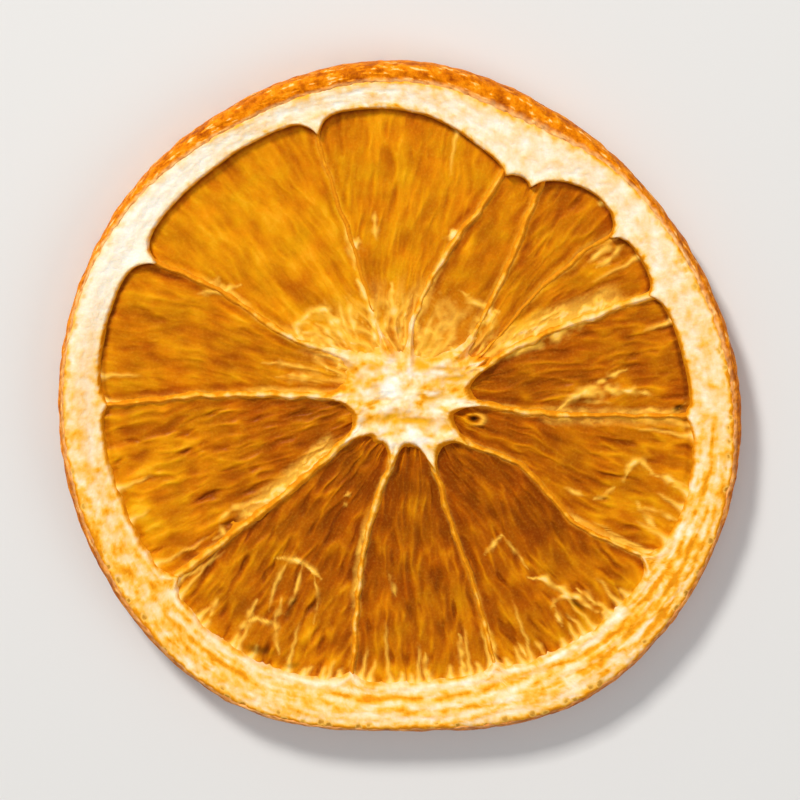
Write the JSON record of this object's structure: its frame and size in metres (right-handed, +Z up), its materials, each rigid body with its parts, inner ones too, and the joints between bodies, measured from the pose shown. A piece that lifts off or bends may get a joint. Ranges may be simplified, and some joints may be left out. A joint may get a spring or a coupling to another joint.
{
  "type": "dried orange slice",
  "caption": "Dried cross slice of an orange lying flat, with rind, pale pith ring, core and webs standing over sunken amber flesh.",
  "frame": {"origin": "under the middle of the slice's box, on the surface it lies on", "axes": "+Z up, square to the slice; +X along its widest way across, to the right in the picture; +Y towards the top of the picture"},
  "size_m": [0.064, 0.0636, 0.0051],
  "materials": {
    "flesh": "satin",
    "pith": "matte",
    "rind": "satin"
  },
  "bodies": {
    "root": {"orange_slice": "flesh"}
  },
  "joints": []
}
